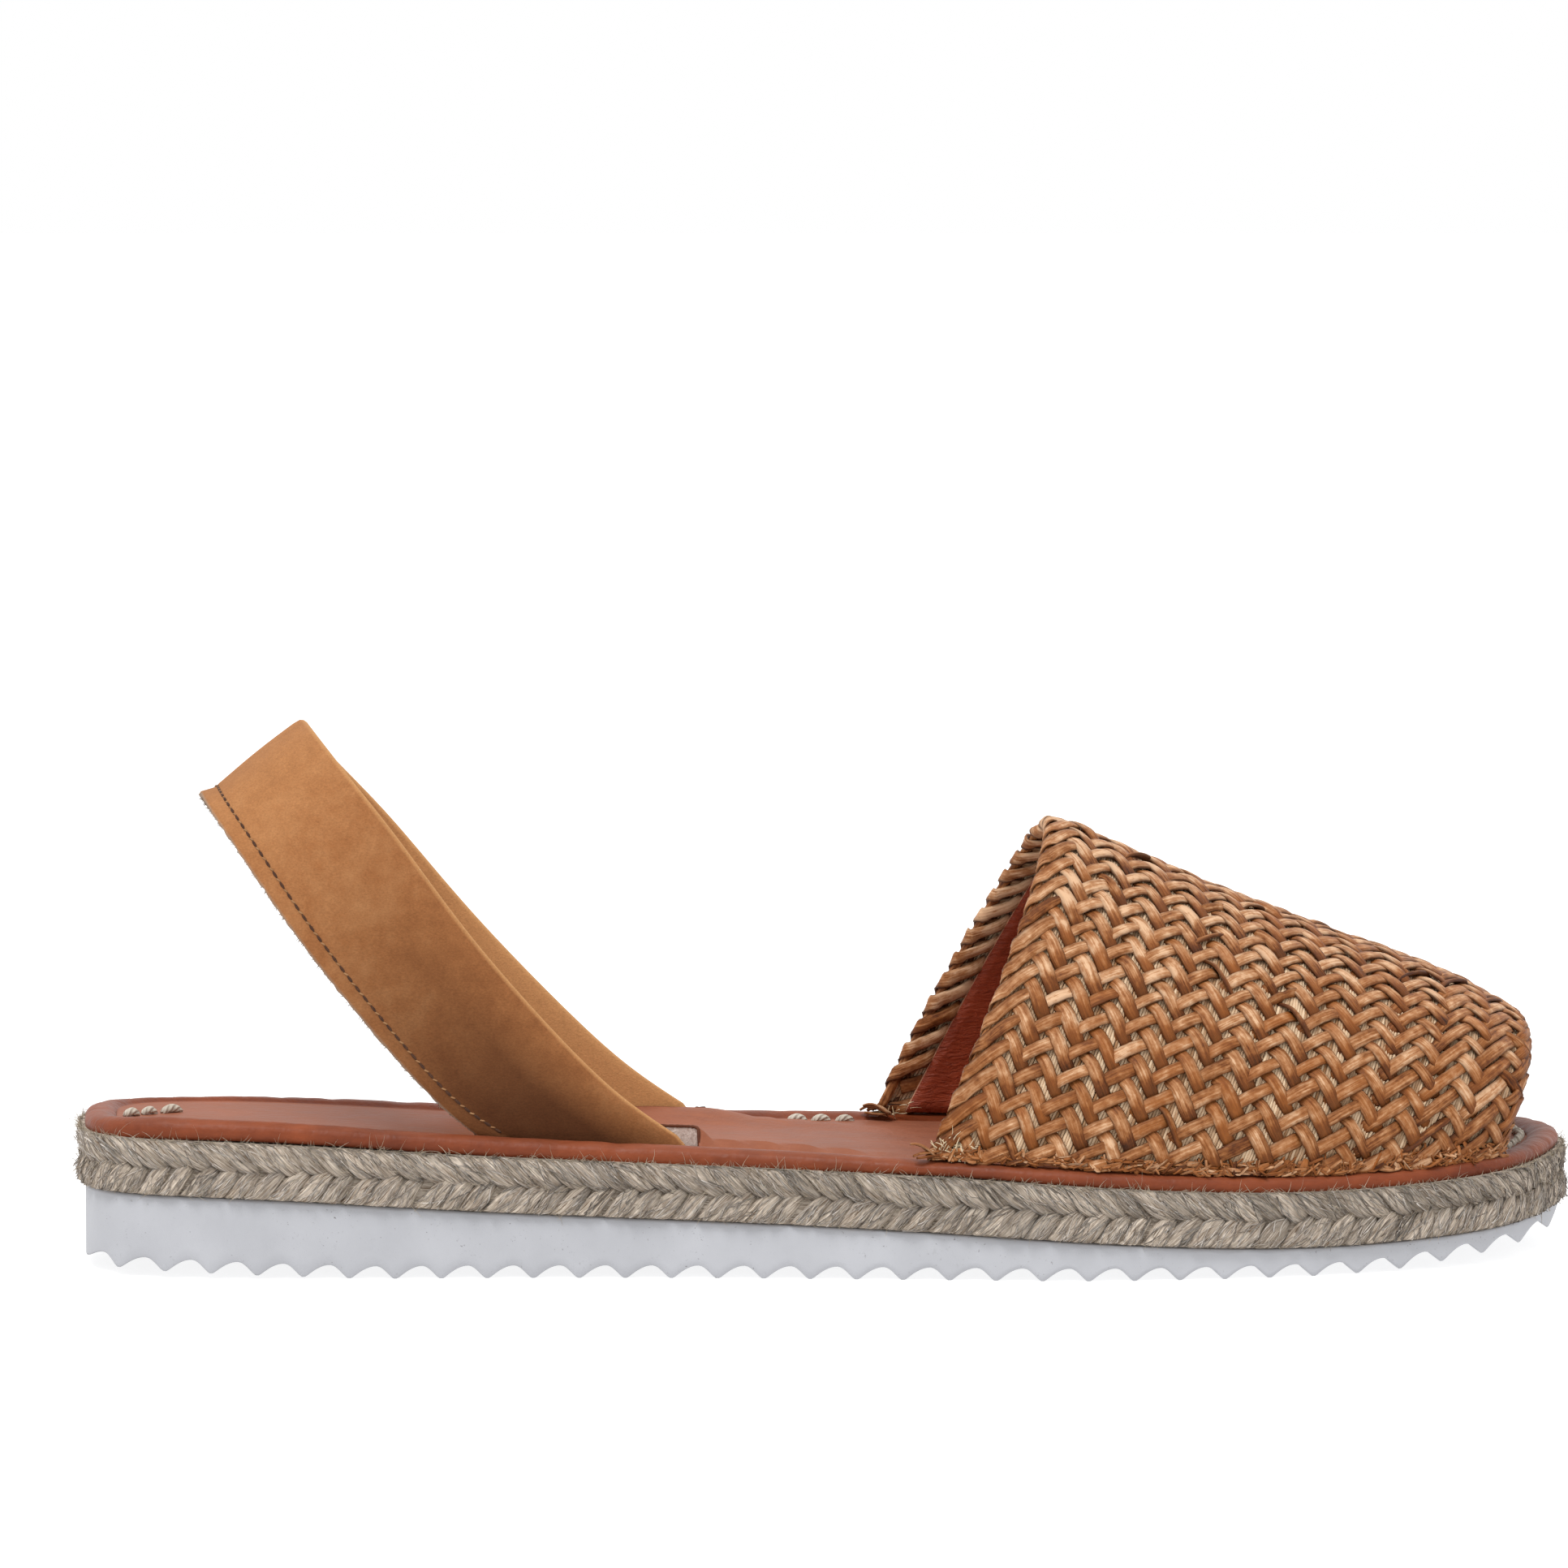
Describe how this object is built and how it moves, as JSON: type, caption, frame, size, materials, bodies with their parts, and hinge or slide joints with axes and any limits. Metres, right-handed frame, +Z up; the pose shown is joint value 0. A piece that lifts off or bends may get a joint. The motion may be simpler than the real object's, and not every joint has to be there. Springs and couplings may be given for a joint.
{
  "type": "avarca sandal",
  "caption": "Right slingback sandal: woven raffia peep-toe vamp and folded leather heel strap on a leather footbed, jute-braid edge and saw-tooth foam wedge sole.",
  "frame": {"origin": "on the floor, under the centre of the sole's bounding box", "axes": "+X from heel to toe, +Y to the medial (big-toe) side, +Z up; the floor is z = 0"},
  "size_m": [0.2558, 0.0884, 0.0911],
  "materials": {
    "outsole": "matt white foam",
    "jute_band": "natural jute braid",
    "insole": "satin tan leather",
    "vamp": "woven raffia strips over twine",
    "heel_strap": "matt tan nubuck"
  },
  "bodies": {
    "root": {"outsole": "outsole", "jute_band": "jute_band", "insole": "insole", "vamp": "vamp", "heel_strap": "heel_strap"}
  },
  "joints": []
}
